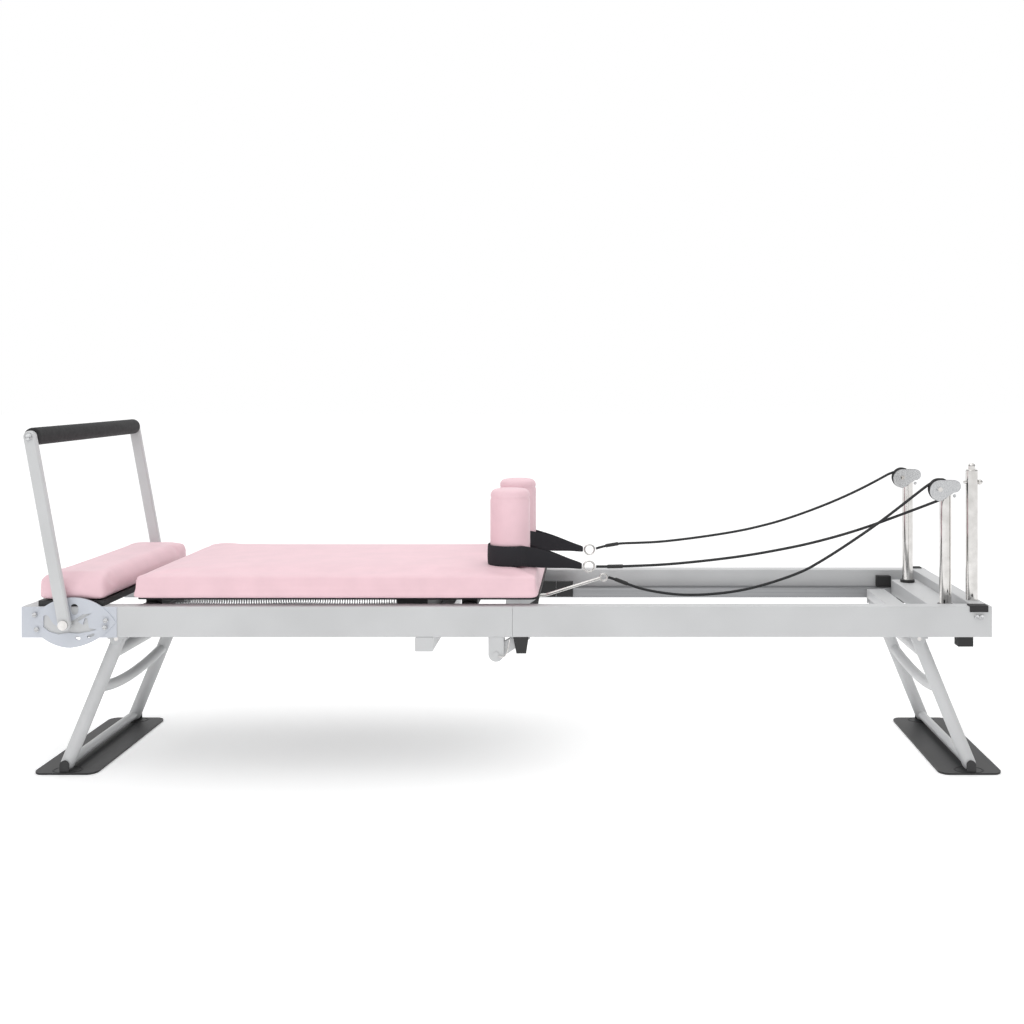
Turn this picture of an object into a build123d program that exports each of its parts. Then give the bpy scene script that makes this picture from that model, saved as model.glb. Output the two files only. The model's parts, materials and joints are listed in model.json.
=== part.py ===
"""Folding pilates reformer, in millimetres.

X runs along the machine from the foot end to the head end, Y across it, Z up.
The origin is on the floor, below the middle of the whole machine.
"""
from build123d import *
import math
import os

os.makedirs("parts", exist_ok=True)

# ---- Driving dimensions --------------------------------------------------------------------------

# Frame
frame_length = 2400.0
frame_width = 600.0
rail_top = 437.0
rail_height = 76.0
rail_width = 40.0
rail_wall = 3.0
rail_corner = 3.0
track_width = 38.0
track_height = 28.0
track_wall = 2.5
foot_beam_height = 40.0
foot_beam_width = 40.0
head_beam_width = 40.0

# Fold in the middle of the frame
seam_from_foot = 1213.5
seam_gap = 0.6
fold_pin_from_foot = 1172.7
fold_pin_drop = 42.0
fold_pin_diameter = 12.0
tab_half_width = 19.0
tab_thickness = 8.0
arm_thickness = 16.0
arm_gap = 2.0
tab_inset = 2.0
running_clearance = 0.05
cross_tube_width = 45.0
cross_tube_height = 35.0
cross_tube_from_foot = 994.5
lock_length = 38.0
lock_drop = 40.0
latch_length = 48.0
latch_lift = 5.0
latch_height = 44.0
latch_thickness = 15.0

# Legs and foot plates
leg_diameter = 34.0
leg_wall = 2.0
leg_inset = 85.0
leg_top_clearance = 1.0
leg_pivot_from_end = 206.5
head_leg_pivot_from_end = 161.5
foot_axis_from_foot = 75.0
foot_axis_from_head = 30.0
plate_thickness = 5.0
plate_length = 160.0
plate_width = 480.0
plate_corner = 25.0
plate_leg_clearance = 0.8
plate_lug_radius = 12.0
leg_crossbar_diameter = 30.0
leg_brace_diameter = 28.0
leg_bottom_bar_diameter = 24.0
leg_crossbar_drop = 44.0
leg_brace_drop = 165.0
leg_brace_bow = 28.0
leg_beam_width = 50.0
leg_beam_height = 25.0
ear_thickness = 3.0
ear_gap = 1.5
ear_half_width = 22.0
leg_bolt_diameter = 10.0

# Footbar
footbar_pivot_from_foot = 115.0
footbar_pivot_drop = 40.0
footbar_reach = 469.0
footbar_lean = 10.4
footbar_arm_width = 30.0
footbar_arm_thickness = 16.0
footbar_arm_gap = 8.0
footbar_tube_diameter = 25.0
footbar_foam_diameter = 44.0
footbar_shaft_diameter = 14.0
bracket_thickness = 4.0
bracket_backing_thickness = 2.0
bracket_length = 235.0

# Pads
pad_width = 600.0
foot_pad_start = 32.0
foot_pad_end = 206.0
foot_pad_thickness = 65.0
foot_pad_board_thickness = 14.0
carriage_pad_start = 262.0
carriage_pad_length = 1021.0
carriage_pad_thickness = 64.0
carriage_board_thickness = 8.5
carriage_board_height = 445.5
carriage_board_inset = 50.0
pad_overhang = 6.0
pad_corner = 14.0

# Carriage
member_inset = 120.0
member_width = 30.0
member_height = 14.0
wheel_radius = 25.0
wheel_width = 18.0
wheel_groove = 0.3
wheel_bolt_diameter = 10.0
wheel_from_carriage_start = 38.0
wheel_spacing = 800.0
fork_thickness = 4.0
fork_gap = 2.5
cross_member_width = 40.0
cross_member_height = 20.5
spring_diameter = 22.0
spring_pitch = 70.0
spring_count = 4
spring_bar_from_foot = 245.0
spring_bar_width = 18.0
spring_anchor_from_start = 640.0
spring_anchor_length = 80.0
spring_drop = 16.5

# Shoulder rests, straps and their hardware
rest_diameter = 108.0
rest_height = 198.0
rest_from_carriage_start = 935.0
rest_side = 150.0
rest_peg_diameter = 20.0
rest_peg_length = 60.0
rest_clearance = 0.3
strap_width = 54.0
strap_thickness = 4.0
strap_gap = 0.6
strap_lift = 1.0
ring_radius = 14.0
ring_wire = 5.0
anchor_rod_diameter = 8.0

# Posts and pulleys
post_diameter = 30.0
post_wall = 2.0
post_from_head = 79.0
post_side = 180.0
post_height = 321.0
post_socket_width = 75.0
post_socket_height = 42.0
anchor_post_from_head = 20.0
anchor_post_height = 333.0
anchor_cap_height = 16.0
pulley_offset = 27.0
pulley_axis_from_head = 103.0
pulley_height = 719.0
sheave_rim_radius = 28.0
sheave_groove_radius = 22.5
sheave_width = 10.0
sheave_axle_diameter = 8.0
cheek_thickness = 3.0
cheek_gap = 1.0
eyebolt_height = 737.0
eyebolt_diameter = 8.0
rope_diameter = 7.0

# Stops, caps and bumpers at the head end
stop_from_head = 152.0
stop_length = 41.0
stop_height = 31.0
stop_width = 20.0
cap_length = 45.0
cap_height = 13.0
cap_thickness = 3.0
bumper_from_head = 82.0
bumper_length = 37.0
bumper_height = 24.0

# ---- Places worked out from the driving dimensions -----------------------------------------------

plate_overhang_foot = plate_length / 2 - foot_axis_from_foot
plate_overhang_head = plate_length / 2 - foot_axis_from_head
foot_end_x = -(frame_length + plate_overhang_foot + plate_overhang_head) / 2 + plate_overhang_foot
head_end_x = foot_end_x + frame_length


def from_foot(distance):
    """X of a place measured from the foot end of the frame."""
    return foot_end_x + distance


def from_head(distance):
    """X of a place measured back from the head end of the frame."""
    return head_end_x - distance


rail_bottom = rail_top - rail_height
rail_outer = frame_width / 2
rail_inner = rail_outer - rail_width
track_top = rail_bottom + track_height
track_inner = rail_inner - track_width
foot_half_end = from_foot(seam_from_foot - seam_gap / 2)
head_half_start = from_foot(seam_from_foot + seam_gap / 2)
fold_x = from_foot(fold_pin_from_foot)
fold_z = rail_bottom - fold_pin_drop
leg_radius = leg_diameter / 2
leg_side = rail_outer - leg_inset
leg_pivot_z = rail_bottom - leg_top_clearance - leg_radius
foot_axis_z = plate_thickness + plate_leg_clearance + leg_radius
foot_leg_x = from_foot(leg_pivot_from_end)
head_leg_x = from_head(head_leg_pivot_from_end)
foot_plate_x = from_foot(foot_axis_from_foot)
head_plate_x = from_head(foot_axis_from_head)
footbar_pivot_x = from_foot(footbar_pivot_from_foot)
footbar_pivot_z = rail_top - footbar_pivot_drop
footbar_x = footbar_pivot_x - footbar_reach * math.sin(math.radians(footbar_lean))
footbar_z = footbar_pivot_z + footbar_reach * math.cos(math.radians(footbar_lean))
bracket_face = rail_outer + bracket_thickness
arm_inner = bracket_face + footbar_arm_gap
arm_outer = arm_inner + footbar_arm_thickness
carriage_start = from_foot(carriage_pad_start)
carriage_end = carriage_start + carriage_pad_length
pad_bottom = carriage_board_height + carriage_board_thickness
pad_top = pad_bottom + carriage_pad_thickness
member_outer = rail_outer - member_inset
member_inner = member_outer - member_width
wheel_z = track_top + wheel_groove + wheel_radius
wheel_side = (rail_inner + track_inner) / 2
wheel_places = [carriage_start + wheel_from_carriage_start,
                carriage_start + wheel_from_carriage_start + wheel_spacing]
cross_bottom = carriage_board_height - cross_member_height
fork_outer = wheel_side - wheel_width / 2 - fork_gap
fork_inner = fork_outer - fork_thickness
spring_z = track_top - spring_drop
member_bottom = carriage_board_height - member_height
spring_anchor_x = carriage_start + spring_anchor_from_start
rest_x = carriage_start + rest_from_carriage_start
post_x = from_head(post_from_head)
post_socket_top = rail_bottom + 11.0 + post_socket_height
anchor_post_x = from_head(anchor_post_from_head)
pulley_x = from_head(pulley_axis_from_head)
near_pulley_y = -post_side - pulley_offset
far_pulley_y = post_side - pulley_offset
sides = (("near", -1), ("far", 1))


def block(x, y, z, mode=Mode.ADD):
    """A rectangular block between pairs of limits, in the piece being made."""
    spans = [sorted(pair) for pair in (x, y, z)]
    centre = [(low + high) / 2 for low, high in spans]
    size = [high - low for low, high in spans]
    with Locations(tuple(centre)):
        Box(*size, mode=mode)


def rod(start, end, radius, mode=Mode.ADD):
    """A round bar between two points, in the piece being made."""
    run = Vector(end) - Vector(start)
    with Locations(Plane(origin=start, z_dir=run)):
        Cylinder(radius, run.length, align=(Align.CENTER, Align.CENTER, Align.MIN), mode=mode)


def ball(centre, radius, mode=Mode.ADD):
    """A ball, in the piece being made."""
    with Locations(centre):
        Sphere(radius, mode=mode)


def save(piece, label):
    """Label a finished piece and write its STEP file."""
    piece.part.label = label
    export_step(piece.part, f"parts/{label}.step")


def box_tube(x, y, z, wall, corner):
    """A closed box section with rounded long edges and welded end plates."""
    with BuildPart() as tube:
        block(x, y, z)
        fillet(tube.edges().filter_by(Axis.X), corner)
        inner = [(min(pair) + wall, max(pair) - wall) for pair in (x, y, z)]
        block(*inner, mode=Mode.SUBTRACT)
    return tube


# ---- Frame rails, tracks and end beams -----------------------------------------------------------

rail_levels = (rail_bottom, rail_top)
track_levels = (rail_bottom, track_top)
for side, sign in sides:
    rail_y = (sign * rail_inner, sign * rail_outer)
    track_y = (sign * track_inner, sign * rail_inner)
    rail = box_tube((foot_end_x, foot_half_end), rail_y, rail_levels, rail_wall, rail_corner)
    save(rail, f"foot_rail_{side}")
    rail = box_tube((head_half_start, head_end_x), rail_y, rail_levels, rail_wall, rail_corner)
    save(rail, f"head_rail_{side}")
    track_start = from_foot(foot_beam_width)
    track = box_tube((track_start, foot_half_end), track_y, track_levels, track_wall, 1.0)
    save(track, f"foot_track_{side}")
    track_end = from_head(head_beam_width)
    track = box_tube((head_half_start, track_end), track_y, track_levels, track_wall, 1.0)
    save(track, f"head_track_{side}")

with BuildPart() as foot_end_beam:
    block((foot_end_x, from_foot(foot_beam_width)), (-rail_inner, rail_inner),
          (rail_top - foot_beam_height, rail_top))
    fillet(foot_end_beam.edges().filter_by(Axis.Y), rail_corner)
    block((foot_end_x + rail_wall, from_foot(foot_beam_width - rail_wall)),
          (-rail_inner + rail_wall, rail_inner - rail_wall),
          (rail_top - foot_beam_height + rail_wall, rail_top - rail_wall), mode=Mode.SUBTRACT)
save(foot_end_beam, "foot_end_beam")

with BuildPart() as head_end_beam:
    block((from_head(head_beam_width), head_end_x), (-rail_inner, rail_inner), rail_levels)
    fillet(head_end_beam.edges().filter_by(Axis.Y), rail_corner)
    block((from_head(head_beam_width - rail_wall), head_end_x - rail_wall),
          (-rail_inner + rail_wall, rail_inner - rail_wall),
          (rail_bottom + rail_wall, rail_top - rail_wall), mode=Mode.SUBTRACT)
save(head_end_beam, "head_end_beam")

# ---- Fold hinge, its locks and the cross tube beside it ------------------------------------------

tab_outer_y = rail_outer - tab_inset
tab_inner_y = rail_inner + tab_inset
arm_centre_y = (rail_outer + rail_inner) / 2

with BuildPart() as fold_tabs:
    for side, sign in sides:
        for outer, inner in ((tab_outer_y, tab_outer_y - tab_thickness),
                             (tab_inner_y + tab_thickness, tab_inner_y)):
            block((fold_x - tab_half_width, fold_x + tab_half_width), (sign * inner, sign * outer),
                  (fold_z, rail_bottom))
            rod((fold_x, sign * inner, fold_z), (fold_x, sign * outer, fold_z), tab_half_width)
        rod((fold_x, sign * (tab_inner_y - 3), fold_z), (fold_x, sign * (tab_outer_y + 3), fold_z),
            fold_pin_diameter / 2)
save(fold_tabs, "fold_tabs")

arm_low_y = arm_centre_y - arm_thickness / 2
arm_high_y = arm_centre_y + arm_thickness / 2
arm_root = head_half_start + 42.0
with BuildPart() as fold_arms:
    for side, sign in sides:
        far_face = max(sign * arm_low_y, sign * arm_high_y)
        with BuildSketch(Plane.XZ.offset(-far_face)):
            with BuildLine():
                Polyline((fold_x, fold_z + tab_half_width), (head_half_start, rail_bottom - 2.0),
                         (head_half_start, rail_bottom), (arm_root, rail_bottom),
                         (arm_root, rail_bottom - 6.0), (fold_x, fold_z - tab_half_width), close=True)
            make_face()
            with Locations((fold_x, fold_z)):
                Circle(tab_half_width)
                Circle(fold_pin_diameter / 2 + running_clearance, mode=Mode.SUBTRACT)
        extrude(amount=arm_thickness)
save(fold_arms, "fold_arms")

with BuildPart() as foot_cross_tube:
    tube_x = from_foot(cross_tube_from_foot)
    half = cross_tube_width / 2
    block((tube_x - half, tube_x + half), (-rail_outer, rail_outer),
          (rail_bottom - cross_tube_height, rail_bottom))
    fillet(foot_cross_tube.edges().filter_by(Axis.Y), rail_corner)
    block((tube_x - half + rail_wall, tube_x + half - rail_wall),
          (-rail_outer + rail_wall, rail_outer - rail_wall),
          (rail_bottom - cross_tube_height + rail_wall, rail_bottom - rail_wall), mode=Mode.SUBTRACT)
save(foot_cross_tube, "foot_cross_tube")

lock_x = head_half_start + 1.5
latch_starts = (head_half_start + 41.5, head_half_start + 91.5)
with BuildPart() as fold_locks:
    for side, sign in sides:
        lock_faces = (sign * (arm_high_y + arm_gap / 2), sign * rail_outer)
        with BuildSketch(Plane.XZ.offset(-max(lock_faces))):
            with BuildLine():
                Polyline((lock_x, rail_bottom), (lock_x + lock_length, rail_bottom),
                         (lock_x + lock_length - 6, rail_bottom - lock_drop),
                         (lock_x + 8, rail_bottom - lock_drop), close=True)
            make_face()
        extrude(amount=max(lock_faces) - min(lock_faces))
        for first in latch_starts:
            block((first, first + latch_length),
                  (sign * track_inner, sign * (track_inner - latch_thickness)),
                  (rail_bottom + latch_lift, rail_bottom + latch_lift + latch_height))
save(fold_locks, "fold_locks")

# ---- Legs ----------------------------------------------------------------------------------------


def build_legs(end, pivot_x, foot_x):
    """One folding leg frame: two tubes, and the three bars across them."""
    along = Vector(foot_x - pivot_x, 0, foot_axis_z - leg_pivot_z).normalized()
    bolt_radius = leg_bolt_diameter / 2 + running_clearance
    for side, sign in sides:
        top = Vector(pivot_x, sign * leg_side, leg_pivot_z)
        bottom = Vector(foot_x, sign * leg_side, foot_axis_z)
        across = Vector(0, leg_radius + 1, 0)
        with BuildPart() as leg:
            rod(top, bottom, leg_radius)
            ball(top, leg_radius)
            ball(bottom, leg_radius)
            rod(top + along * leg_radius, bottom - along * leg_radius, leg_radius - leg_wall,
                mode=Mode.SUBTRACT)
            for place in (top, bottom):
                rod(place - across, place + across, bolt_radius, mode=Mode.SUBTRACT)
        save(leg, f"{end}_leg_{side}")
    pivot = Vector(pivot_x, 0, leg_pivot_z)
    half = Vector(0, leg_side, 0)
    crossbar = pivot + along * leg_crossbar_drop
    brace = pivot + along * leg_brace_drop
    brace_end = brace - along * leg_brace_bow
    foot = Vector(foot_x, 0, foot_axis_z)
    brace_half = half * (1 - 0.4 * leg_radius / leg_side)
    with BuildLine() as brace_path:
        ThreePointArc(brace_end - brace_half, brace, brace_end + brace_half)
    brace_start = Plane(origin=brace_path.line @ 0, z_dir=brace_path.line % 0)
    with BuildPart() as solid_legs:
        for sign in (-1, 1):
            rod(pivot + half * sign, foot + half * sign, leg_radius)
            ball(foot + half * sign, leg_radius)
    with BuildPart() as bars:
        with BuildSketch(brace_start):
            Circle(leg_brace_diameter / 2)
        sweep(path=brace_path.line)
        rod(crossbar - half, crossbar + half, leg_crossbar_diameter / 2)
        rod(foot - half, foot + half, leg_bottom_bar_diameter / 2)
        add(solid_legs.part, mode=Mode.SUBTRACT)
    save(bars, f"{end}_leg_bars")


build_legs("foot", foot_leg_x, foot_plate_x)
build_legs("head", head_leg_x, head_plate_x)


def build_leg_bracket(end, pivot_x):
    """The beam between the tracks that the legs hang from, with an ear each side of each leg."""
    half = leg_beam_width / 2
    inner_ear = leg_side - leg_radius - ear_gap - ear_thickness
    outer_ear = leg_side + leg_radius + ear_gap
    with BuildPart() as bracket:
        block((pivot_x - half, pivot_x + half), (-track_inner, track_inner),
              (rail_bottom, rail_bottom + leg_beam_height))
        for side, sign in sides:
            for ear in (inner_ear, outer_ear):
                first = Vector(pivot_x, sign * ear, leg_pivot_z)
                second = Vector(pivot_x, sign * (ear + ear_thickness), leg_pivot_z)
                block((pivot_x - ear_half_width, pivot_x + ear_half_width), (first.Y, second.Y),
                      (leg_pivot_z, rail_bottom))
                rod(first, second, leg_radius - 1.0)
                rod(first, second, leg_bolt_diameter / 2, mode=Mode.SUBTRACT)
    save(bracket, f"{end}_leg_bracket")


build_leg_bracket("foot", foot_leg_x)
build_leg_bracket("head", head_leg_x)


def build_plate(end, centre_x):
    """A flat steel foot, with a lug outside each leg and a pin into the leg's end."""
    lug = leg_side + leg_radius + ear_gap
    with BuildPart() as plate:
        with BuildSketch(Plane.XY):
            with Locations((centre_x, 0)):
                RectangleRounded(plate_length, plate_width, plate_corner)
        extrude(amount=plate_thickness)
        for side, sign in sides:
            lug_inside = Vector(centre_x, sign * lug, foot_axis_z)
            lug_outside = Vector(centre_x, sign * (lug + ear_thickness), foot_axis_z)
            pin_end = Vector(centre_x, sign * (leg_side - leg_radius + 1.0), foot_axis_z)
            block((centre_x - plate_lug_radius, centre_x + plate_lug_radius), (lug_inside.Y, lug_outside.Y),
                  (plate_thickness, foot_axis_z))
            rod(lug_inside, lug_outside, plate_lug_radius)
            rod(pin_end, lug_outside, leg_bolt_diameter / 2)
    save(plate, f"{end}_plate")


build_plate("foot", foot_plate_x)
build_plate("head", head_plate_x)

# ---- Footbar and its brackets --------------------------------------------------------------------

bracket_start = foot_end_x
bracket_end = from_foot(bracket_length)
eye_left = from_foot(22.0)
eye_right = from_foot(233.0)
eye_middle = from_foot(120.0)
eye_level = rail_top - 38.0
eye_top = rail_top + 23.0
eye_bottom = rail_bottom - 25.0
eye_shoulder_right = (eye_right - 45.0, rail_bottom - 3.0)
eye_shoulder_left = (eye_left + 36.0, rail_bottom - 4.0)

# The notched window that the footbar's latch pin moves in, each point from the foot end and down
# from the rail's top.
window_points = [(54, 50), (54, 24), (60, 19), (67, 22), (80, 42), (96, 52), (112, 30), (126, 34), (152, 18),
                 (174, 16), (158, 26), (140, 36), (152, 44), (157, 28), (163, 27), (168, 52), (186, 56),
                 (166, 62), (140, 66), (116, 64), (92, 68), (70, 62)]
window = [(from_foot(distance), rail_top - drop) for distance, drop in window_points]

with BuildPart() as footbar_bracket_near:
    with BuildSketch(Plane.XZ.offset(rail_outer)):
        with BuildLine():
            Polyline((bracket_start, rail_bottom), (bracket_end, rail_bottom),
                     (bracket_end, rail_top), (bracket_start, rail_top), close=True)
        make_face()
    extrude(amount=bracket_backing_thickness)
    with BuildSketch(Plane.XZ.offset(rail_outer)):
        with BuildLine():
            ThreePointArc((eye_left, eye_level), (eye_middle, eye_top), (eye_right, eye_level))
            ThreePointArc((eye_right, eye_level), eye_shoulder_right, (eye_middle, eye_bottom))
            ThreePointArc((eye_middle, eye_bottom), eye_shoulder_left, (eye_left, eye_level))
        make_face()
    extrude(amount=bracket_thickness)
    with BuildSketch(Plane.XZ.offset(rail_outer)):
        with BuildLine():
            Polyline(*window, close=True)
        make_face()
        with Locations((from_foot(131.0), rail_top - 6)):
            SlotOverall(27, 20, rotation=90)
        with Locations((from_foot(140.0), rail_bottom - 1)):
            SlotOverall(13, 9, rotation=-20)
        with Locations((from_foot(172.0), rail_bottom + 5)):
            SlotOverall(20, 6, rotation=25)
    extrude(amount=bracket_thickness, mode=Mode.SUBTRACT)
save(footbar_bracket_near, "footbar_bracket_near")

with BuildPart() as footbar_bracket_far:
    mirror(footbar_bracket_near.part, about=Plane.XZ)
save(footbar_bracket_far, "footbar_bracket_far")

footbar_run = Vector(footbar_x - footbar_pivot_x, 0, footbar_z - footbar_pivot_z)
arm_angle = 90 + footbar_lean
arm_middle = Vector(footbar_pivot_x, 0, footbar_pivot_z) + footbar_run / 2
for side, sign in sides:
    outer_face = max(sign * arm_inner, sign * arm_outer)
    with BuildPart() as footbar_arm:
        with BuildSketch(Plane.XZ.offset(-outer_face)):
            with Locations((arm_middle.X, arm_middle.Z)):
                SlotOverall(footbar_reach + footbar_arm_width, footbar_arm_width, rotation=arm_angle)
            with Locations((footbar_pivot_x, footbar_pivot_z)):
                Circle(footbar_shaft_diameter / 2 + running_clearance, mode=Mode.SUBTRACT)
        extrude(amount=footbar_arm_thickness)
        chamfer(footbar_arm.faces().filter_by(Axis.Y).edges().filter_by(GeomType.LINE), 3.5)
    save(footbar_arm, f"footbar_arm_{side}")

with BuildPart() as footbar_tube:
    rod((footbar_x, -arm_inner, footbar_z), (footbar_x, arm_inner, footbar_z), footbar_tube_diameter / 2)
    rod((footbar_x, -arm_inner, footbar_z), (footbar_x, arm_inner, footbar_z),
        footbar_tube_diameter / 2 - 2, mode=Mode.SUBTRACT)
save(footbar_tube, "footbar_tube")

with BuildPart() as footbar_foam:
    foam_half = arm_inner - 0.5
    rod((footbar_x, -foam_half, footbar_z), (footbar_x, foam_half, footbar_z), footbar_foam_diameter / 2)
    rod((footbar_x, -foam_half, footbar_z), (footbar_x, foam_half, footbar_z), footbar_tube_diameter / 2,
        mode=Mode.SUBTRACT)
save(footbar_foam, "footbar_foam")

# ---- Fasteners of the foot half ------------------------------------------------------------------

inner_ear_y = leg_side - leg_radius - ear_gap - ear_thickness
outer_ear_y = leg_side + leg_radius + ear_gap + ear_thickness
bolt_heads = ((35.0, 19.0), (40.0, 55.0), (210.0, 33.0), (208.0, 50.0))
with BuildPart() as foot_fasteners:
    for side, sign in sides:
        for distance, drop in bolt_heads:
            place = Vector(from_foot(distance), 0, rail_top - drop)
            rod(place + Vector(0, sign * bracket_face, 0), place + Vector(0, sign * (bracket_face + 3), 0),
                5.0)
        shaft = Vector(footbar_pivot_x, 0, footbar_pivot_z)
        rod(shaft + Vector(0, sign * rail_outer, 0), shaft + Vector(0, sign * (arm_outer + 0.3), 0),
            footbar_shaft_diameter / 2)
        rod(shaft + Vector(0, sign * (arm_outer + 0.3), 0), shaft + Vector(0, sign * (arm_outer + 5), 0),
            12.0)
        rod(shaft + Vector(0, sign * bracket_face, 0), shaft + Vector(0, sign * (arm_inner - 0.3), 0), 11.0)
        rod((foot_leg_x, sign * inner_ear_y, leg_pivot_z), (foot_leg_x, sign * outer_ear_y, leg_pivot_z),
            leg_bolt_diameter / 2)
save(foot_fasteners, "foot_fasteners")

# ---- Small fixed pad at the foot end, and the spring bar -----------------------------------------


def cushion(x, y, z):
    """A plain closed pad with rounded upright edges."""
    with BuildPart() as pad:
        block(x, y, z)
        fillet(pad.edges().filter_by(Axis.Z), pad_corner)
        fillet(pad.faces().sort_by(Axis.Z)[-1].edges(), pad_corner / 2)
    return pad


foot_board_top = rail_top + foot_pad_board_thickness
save(cushion((from_foot(foot_pad_start), from_foot(foot_pad_end)), (-pad_width / 2, pad_width / 2),
             (foot_board_top, foot_board_top + foot_pad_thickness)), "foot_pad")

with BuildPart() as foot_pad_board:
    block((from_foot(foot_pad_start + pad_overhang), from_foot(foot_pad_end - pad_overhang)),
          (-pad_width / 2 + pad_overhang, pad_width / 2 - pad_overhang), (rail_top, foot_board_top))
save(foot_pad_board, "foot_pad_board")

spring_bar_x = from_foot(spring_bar_from_foot)
with BuildPart() as spring_bar:
    block((spring_bar_x - spring_bar_width / 2, spring_bar_x + spring_bar_width / 2),
          (-track_inner, track_inner), (rail_bottom, spring_z + 13))
    fillet(spring_bar.edges().filter_by(Axis.Y), 3.0)
save(spring_bar, "spring_bar")

# ---- Carriage ------------------------------------------------------------------------------------

rest_bore = rest_peg_diameter / 2 + rest_clearance
carriage_pad_levels = (pad_bottom, pad_top)
with BuildPart() as carriage_pad:
    block((carriage_start, carriage_end), (-pad_width / 2, pad_width / 2), carriage_pad_levels)
    fillet(carriage_pad.edges().filter_by(Axis.Z), pad_corner)
    fillet(carriage_pad.faces().sort_by(Axis.Z)[-1].edges(), pad_corner / 2)
    for side, sign in sides:
        rod((rest_x, sign * rest_side, pad_bottom), (rest_x, sign * rest_side, pad_top), rest_bore,
            mode=Mode.SUBTRACT)
save(carriage_pad, "carriage_pad")

with BuildPart() as carriage_board:
    block((carriage_start + pad_overhang, carriage_end - pad_overhang),
          (-pad_width / 2 + carriage_board_inset, pad_width / 2 - carriage_board_inset),
          (carriage_board_height, pad_bottom))
save(carriage_board, "carriage_board")

member_start = carriage_start + 28.0
member_end = carriage_end - 23.0
with BuildPart() as carriage_frame:
    for side, sign in sides:
        block((member_start, member_end), (sign * member_inner, sign * member_outer),
              (member_bottom, carriage_board_height))
        for wheel_x in wheel_places:
            block((wheel_x - 20, wheel_x + 20), (sign * fork_inner, sign * fork_outer),
                  (wheel_z - 12, carriage_board_height))
            rod((wheel_x, sign * fork_inner, wheel_z), (wheel_x, sign * fork_outer, wheel_z),
                wheel_bolt_diameter / 2, mode=Mode.SUBTRACT)
    for wheel_x in wheel_places:
        block((wheel_x - cross_member_width / 2, wheel_x + cross_member_width / 2),
              (-fork_outer, fork_outer), (cross_bottom, carriage_board_height))
    block((spring_anchor_x, spring_anchor_x + spring_anchor_length), (-member_inner, member_inner),
          (spring_z - 8, carriage_board_height))
save(carriage_frame, "carriage_frame")

wheel_names = ("foot", "head")
for wheel_end, wheel_x in zip(wheel_names, wheel_places):
    for side, sign in sides:
        first = Vector(wheel_x, sign * (wheel_side - wheel_width / 2), wheel_z)
        second = Vector(wheel_x, sign * (wheel_side + wheel_width / 2), wheel_z)
        with BuildPart() as wheel:
            rod(first, second, wheel_radius)
            fillet(wheel.edges().filter_by(GeomType.CIRCLE), 2.5)
            rod(first, second, wheel_bolt_diameter / 2 + running_clearance, mode=Mode.SUBTRACT)
        save(wheel, f"wheel_{wheel_end}_{side}")

with BuildPart() as wheel_axles:
    for wheel_x in wheel_places:
        for side, sign in sides:
            head = sign * (wheel_side + wheel_width / 2 + 0.5)
            rod((wheel_x, sign * fork_inner, wheel_z), (wheel_x, head, wheel_z), wheel_bolt_diameter / 2)
            rod((wheel_x, head, wheel_z), (wheel_x, head + sign * 4, wheel_z), 8.0)
save(wheel_axles, "wheel_axles")

with BuildPart() as springs:
    first_y = -spring_pitch * (spring_count - 1) / 2
    for number in range(spring_count):
        spring_y = first_y + spring_pitch * number
        rod((spring_bar_x + spring_bar_width / 2 + 0.5, spring_y, spring_z),
            (spring_anchor_x - 0.5, spring_y, spring_z), spring_diameter / 2)
save(springs, "springs")

# ---- Shoulder rests and their straps -------------------------------------------------------------

strap_bottom = pad_top + strap_lift
strap_top = strap_bottom + strap_width
strap_inner = rest_diameter / 2 + strap_gap
strap_outer = strap_inner + strap_thickness
ring_x = rest_x + 205.0
ring_z = pad_top - 6.0
for side, sign in sides:
    centre = Vector(rest_x, sign * rest_side, 0)
    base = centre + Vector(0, 0, pad_top + 0.3)
    crown = base + Vector(0, 0, rest_height)
    with BuildPart() as shoulder_rest:
        rod(base, crown, rest_diameter / 2)
        fillet(shoulder_rest.edges().group_by(Axis.Z)[-1], 18.0)
        fillet(shoulder_rest.edges().group_by(Axis.Z)[0], 3.0)
        rod(base - Vector(0, 0, rest_peg_length), base + Vector(0, 0, 1), rest_peg_diameter / 2)
    save(shoulder_rest, f"shoulder_rest_{side}")

    tail_start = rest_x + strap_inner + 1.0
    tail_end = ring_x - ring_radius + 1.0
    with BuildPart() as strap:
        rod(centre + Vector(0, 0, strap_bottom), centre + Vector(0, 0, strap_top), strap_outer)
        with BuildSketch(Plane.XZ.offset(-sign * rest_side - strap_thickness)):
            with BuildLine():
                Polyline((tail_start, strap_bottom), (tail_start + 60, strap_bottom),
                         (tail_end, ring_z - 8), (tail_end, ring_z + 10),
                         (tail_start + 60, strap_top), (tail_start, strap_top), close=True)
            make_face()
        extrude(amount=-2 * strap_thickness)
        rod(centre + Vector(0, 0, strap_bottom), centre + Vector(0, 0, strap_top), strap_inner,
            mode=Mode.SUBTRACT)
    save(strap, f"strap_{side}")

anchor_start = Vector(member_end + 1.5, -rest_side - 10, carriage_board_height - member_height / 2)
anchor_bend = anchor_start + Vector(30, 10, 0)
anchor_eye = Vector(rest_x + 243.0, -rest_side, ring_z - 28)
anchor_tip = anchor_eye - Vector(9, 0, 2)
with BuildPart() as strap_hardware:
    for side, sign in sides:
        with Locations(Plane(origin=(ring_x, sign * rest_side, ring_z), z_dir=(0, 1, 0))):
            Torus(ring_radius, ring_wire / 2)
    rod(anchor_start, anchor_bend, anchor_rod_diameter / 2)
    ball(anchor_bend, anchor_rod_diameter / 2)
    rod(anchor_bend, anchor_tip, anchor_rod_diameter / 2)
    with Locations(Plane(origin=anchor_eye, z_dir=(0, 1, 0))):
        Torus(9.0, 2.5)
save(strap_hardware, "strap_hardware")

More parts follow.
